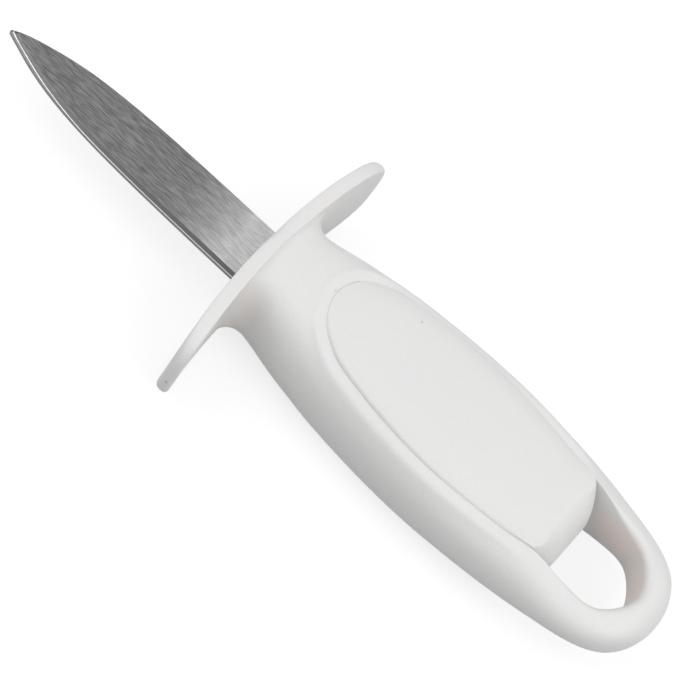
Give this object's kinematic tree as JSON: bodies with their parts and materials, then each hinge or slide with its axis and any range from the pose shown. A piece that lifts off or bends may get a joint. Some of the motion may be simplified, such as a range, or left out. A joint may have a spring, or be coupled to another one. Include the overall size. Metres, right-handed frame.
{
  "type": "oyster knife",
  "caption": "Oyster knife with a short bevelled spear-point blade, a bowed oval hand guard and a flared two-part plastic handle that ends in a hanging loop.",
  "frame": {"origin": "middle of the knife's overall box", "axes": "+X along the knife to the blade's tip, +Y across the blade's width to its cutting edge, +Z square to the flat of the blade"},
  "size_m": [0.1655, 0.0644, 0.0242],
  "materials": {
    "blade_steel": "brushed along the blade, with a brighter ground bevel",
    "core_plastic": "satin moulded white",
    "grip_plastic": "satin moulded white"
  },
  "bodies": {
    "root": {"blade": "blade_steel", "handle_core": "core_plastic", "handle_grip": "grip_plastic"}
  },
  "joints": []
}
